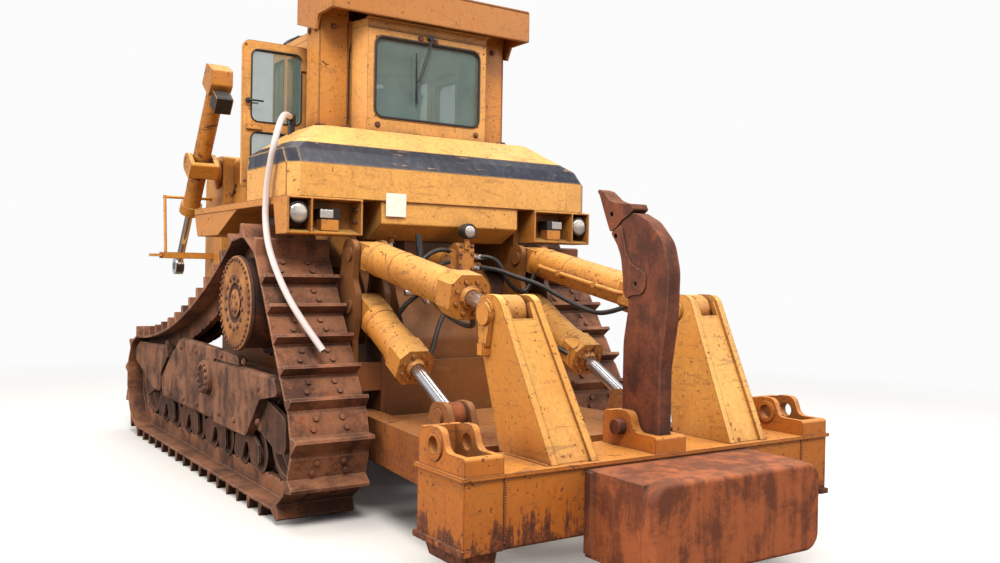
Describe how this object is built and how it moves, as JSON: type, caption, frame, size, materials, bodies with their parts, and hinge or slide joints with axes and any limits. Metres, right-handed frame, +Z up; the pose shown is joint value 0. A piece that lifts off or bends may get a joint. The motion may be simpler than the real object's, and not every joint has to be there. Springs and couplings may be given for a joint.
{
  "type": "bulldozer",
  "caption": "Track-type dozer with raised drive sprockets, cab under a roll-over canopy, blade lift cylinders without the blade, and a rear ripper beam with one shank.",
  "frame": {"origin": "on the ground under the middle of the machine's overall length and width", "axes": "+Y forward, +X to the machine's right, +Z up"},
  "size_m": [3.212, 7.8454, 4.304],
  "materials": {
    "paint": "faded semi-gloss enamel with rust chips",
    "rust": "rusty bare steel",
    "track_steel": "worn and rusty steel",
    "dark_paint": "dull black paint",
    "rod_chrome": "polished plating",
    "glazing": "tinted safety glass",
    "seat_cover": "dark woven cover",
    "trim": "matt black plastic",
    "hose_rubber": "pale rubber hose"
  },
  "bodies": {
    "chassis": {"track_right": "track_steel", "track_left": "track_steel", "idlers": "track_steel", "track_rollers": "track_steel", "bogies": "rust", "final_drives": "paint", "sprockets": "track_steel", "roller_frames": "paint", "track_guards": "rust", "idler_yokes": "rust", "main_case": "paint", "main_frame": "paint", "pivot_shafts": "paint", "equalizer_bar": "rust", "engine_block": "dark_paint", "hood": "paint", "radiator_guard": "paint", "grille": "dark_paint", "fuel_tank": "paint", "fenders": "paint", "rear_lamps": "dark_paint", "cab_rear_wall": "paint", "cab_front_wall": "paint", "cab_sides": "paint", "cab_roof": "paint", "cab_floor": "paint", "cab_glass": "glazing", "canopy": "paint", "roof_posts": "paint", "driver_seat": "seat_cover", "cab_controls": "trim", "exhaust_stack": "dark_paint", "air_cleaner": "paint", "blade_yokes": "paint", "front_brackets": "paint", "ripper_mounts": "paint", "ripper_valve": "paint", "hose": "hose_rubber", "hose_fitting": "dark_paint"},
    "door_left": {"door_left": "paint", "door_glass_left": "glazing"},
    "door_right": {"door_right": "paint", "door_glass_right": "glazing"},
    "ripper_link": {"ripper_link": "paint"},
    "link_pins": {"link_pins": "rust"},
    "ripper_beam": {"ripper_beam": "paint", "shank_pockets": "paint", "ripper_towers": "paint", "push_block": "rust", "ripper_shank": "rust", "shank_tip": "rust", "shank_pin": "rust"},
    "lift_barrels": {"lift_barrels": "paint"},
    "lift_rods": {"lift_rods": "rod_chrome"},
    "tilt_barrels": {"tilt_barrels": "paint"},
    "tilt_rods": {"tilt_rods": "rod_chrome"},
    "blade_barrel_left": {"blade_barrel_left": "paint"},
    "blade_barrel_right": {"blade_barrel_right": "paint"},
    "blade_rod_left": {"blade_rod_left": "rod_chrome"},
    "blade_rod_right": {"blade_rod_right": "rod_chrome"}
  },
  "joints": [
    {"name": "door_left_swing", "type": "hinge", "parent": "chassis", "child": "door_left", "pos_m": [-0.8163, 0.38727, 3.2], "axis": [0, 0, 1], "range_deg": [-90, 0]},
    {"name": "door_right_swing", "type": "hinge", "parent": "chassis", "child": "door_right", "pos_m": [0.8163, 0.38727, 3.2], "axis": [0, 0, 1], "range_deg": [-90, 0]},
    {"name": "ripper_lift", "type": "hinge", "parent": "chassis", "child": "ripper_link", "pos_m": [0, -0.66773, 0.64], "axis": [1, 0, 0], "range_deg": [-28, 12]},
    {"name": "ripper_level", "type": "hinge", "parent": "ripper_link", "child": "link_pins", "pos_m": [0, -2.67773, 0.6], "axis": [1, 0, 0], "range_deg": [-17, 38.5]},
    {"name": "ripper_tilt", "type": "hinge", "parent": "link_pins", "child": "ripper_beam", "pos_m": [0, -2.67773, 0.6], "axis": [1, 0, 0], "range_deg": [-15, 15]},
    {"name": "lift_barrel_swing", "type": "hinge", "parent": "chassis", "child": "lift_barrels", "pos_m": [0, -0.75773, 1.59], "axis": [1, 0, 0], "range_deg": [-24, 11]},
    {"name": "lift_rod_slide", "type": "slide", "parent": "lift_barrels", "child": "lift_rods", "axis": [0, -0.889, -0.4579], "range_m": [-0.46, 0.2]},
    {"name": "tilt_barrel_swing", "type": "hinge", "parent": "chassis", "child": "tilt_barrels", "pos_m": [0, -0.74773, 1.997], "axis": [1, 0, 0], "range_deg": [-28, 12.5]},
    {"name": "tilt_rod_slide", "type": "slide", "parent": "tilt_barrels", "child": "tilt_rods", "axis": [0, -0.9826, -0.1856], "range_m": [-0.27, 0.27]},
    {"name": "blade_swing_left", "type": "hinge", "parent": "chassis", "child": "blade_barrel_left", "pos_m": [-1.05, 2.9105, 3.00245], "axis": [1, 0, 0], "range_deg": [-3, 12]},
    {"name": "blade_swing_right", "type": "hinge", "parent": "chassis", "child": "blade_barrel_right", "pos_m": [1.05, 2.9105, 3.00245], "axis": [1, 0, 0], "range_deg": [-3, 12]},
    {"name": "blade_rod_slide_left", "type": "slide", "parent": "blade_barrel_left", "child": "blade_rod_left", "axis": [0, 0.5954, -0.8034], "range_m": [0, 1.4]},
    {"name": "blade_rod_slide_right", "type": "slide", "parent": "blade_barrel_right", "child": "blade_rod_right", "axis": [0, 0.5954, -0.8034], "range_m": [0, 1.4]}
  ],
  "couplings": [
    {"joint": "ripper_level", "follows": "ripper_lift", "ratio": -1.338},
    {"joint": "lift_barrel_swing", "follows": "ripper_lift", "ratio": 0.8345},
    {"joint": "lift_rod_slide", "follows": "ripper_lift", "m_per_rad": 0.9195},
    {"joint": "tilt_barrel_swing", "follows": "ripper_lift", "ratio": 0.9755},
    {"joint": "tilt_rod_slide", "follows": "ripper_tilt", "m_per_rad": 1.0054},
    {"joint": "blade_swing_right", "follows": "blade_swing_left", "ratio": 1},
    {"joint": "blade_rod_slide_right", "follows": "blade_rod_slide_left", "ratio": 1}
  ]
}
